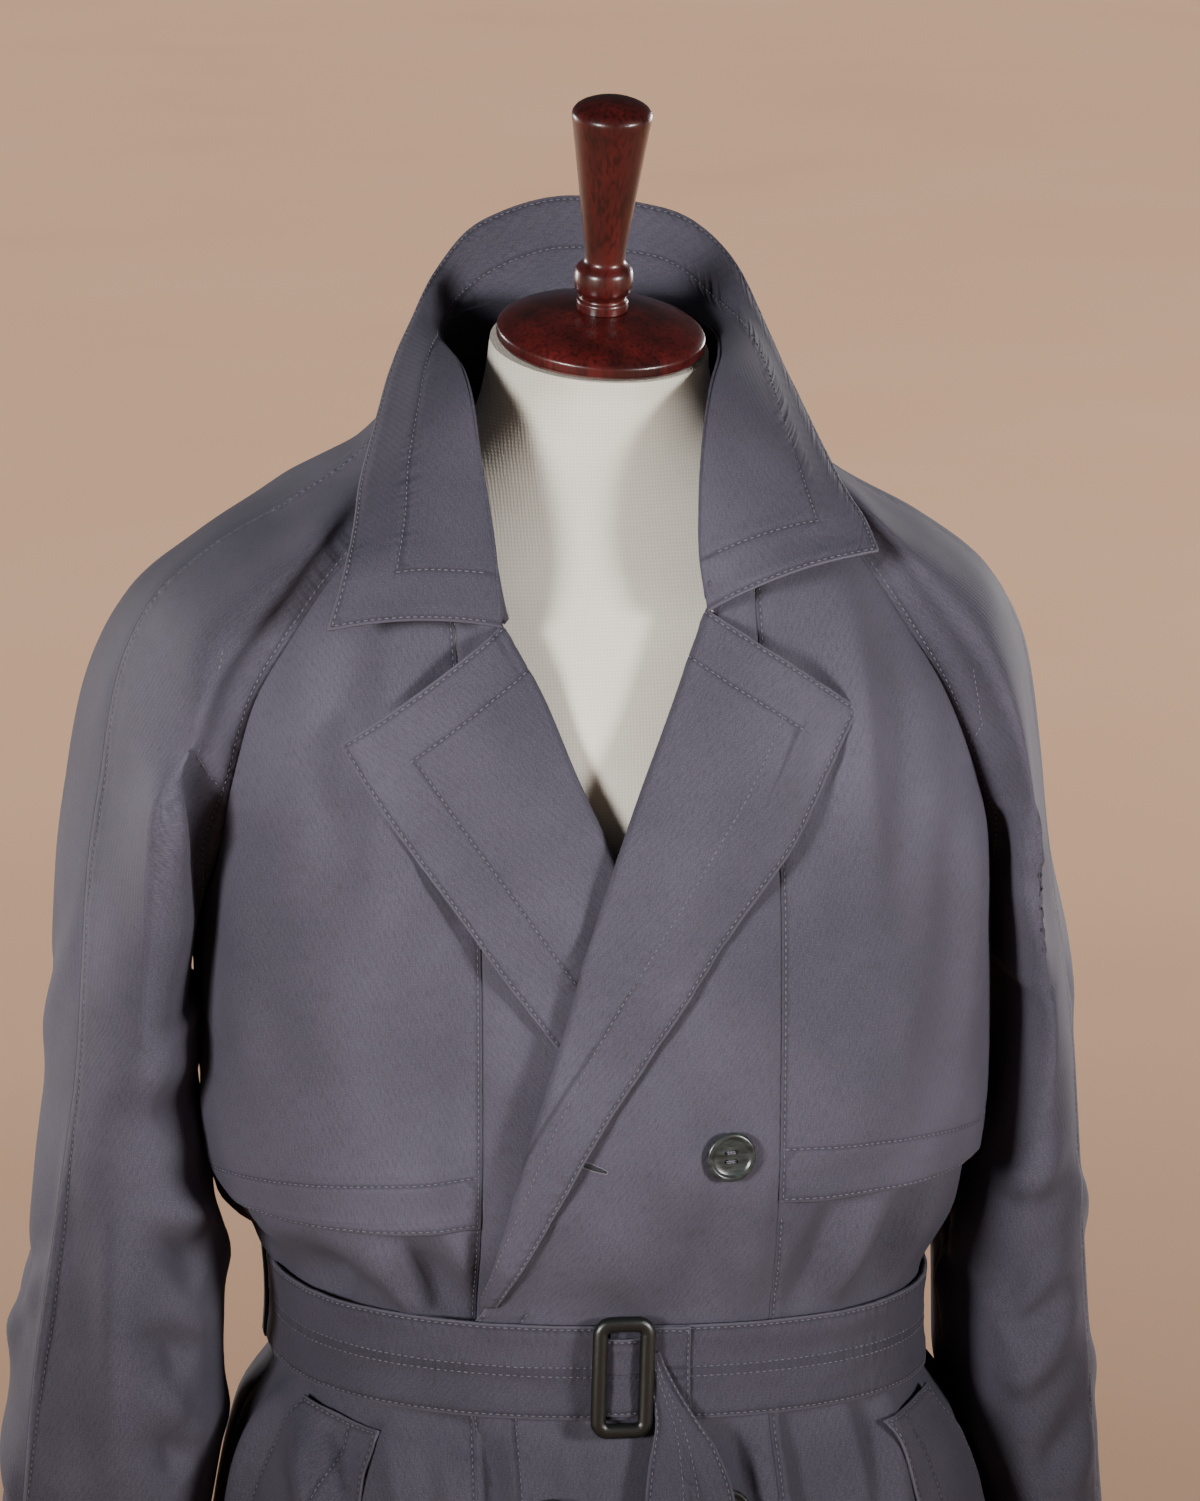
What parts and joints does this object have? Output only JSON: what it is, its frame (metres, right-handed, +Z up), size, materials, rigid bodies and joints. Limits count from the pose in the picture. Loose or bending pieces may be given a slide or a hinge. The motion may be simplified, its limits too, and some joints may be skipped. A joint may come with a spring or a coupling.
{
  "type": "trench coat on a dress form",
  "caption": "Belted double-breasted trench coat with raglan sleeves, storm flaps and a wide collar, worn by a limbless dress form on a stand.",
  "frame": {"origin": "middle of the stand plate's flat underside, on the floor under the form's pole", "axes": "+Z up along the pole, -Y out of the coat's front, +X towards the wearer's left"},
  "size_m": [0.6132, 0.402, 1.6074],
  "materials": {
    "gabardine": "matt twill-woven cotton gabardine, blue-violet grey",
    "button_horn": "polished dark green-grey resin with a horn look",
    "buckle_leather": "fine-grained leather, nearly black",
    "canvas": "plain off-white cotton cover",
    "stained_wood": "turned hardwood, dark red stain, semi-gloss varnish",
    "painted_steel": "black powder coat"
  },
  "bodies": {
    "root": {"back_left": "gabardine", "back_right": "gabardine", "belt": "gabardine", "belt_loop_left": "gabardine", "belt_loop_right": "gabardine", "belt_tail": "gabardine", "buckle": "buckle_leather", "button_1": "button_horn", "button_2": "button_horn", "button_3": "button_horn", "button_4": "button_horn", "button_5": "button_horn", "collar": "gabardine", "collar_stand": "gabardine", "dress_form": "canvas", "finial": "stained_wood", "front_left": "gabardine", "front_right": "gabardine", "lapel_left": "gabardine", "lapel_right": "gabardine", "neck_cap": "stained_wood", "pocket_welt_left": "gabardine", "pocket_welt_right": "gabardine", "side_front_left": "gabardine", "side_front_right": "gabardine", "sleeve_back_left": "gabardine", "sleeve_back_right": "gabardine", "sleeve_front_left": "gabardine", "sleeve_front_right": "gabardine", "stand_base": "painted_steel", "stand_pole": "painted_steel", "storm_flap_left": "gabardine", "storm_flap_right": "gabardine"}
  },
  "joints": []
}
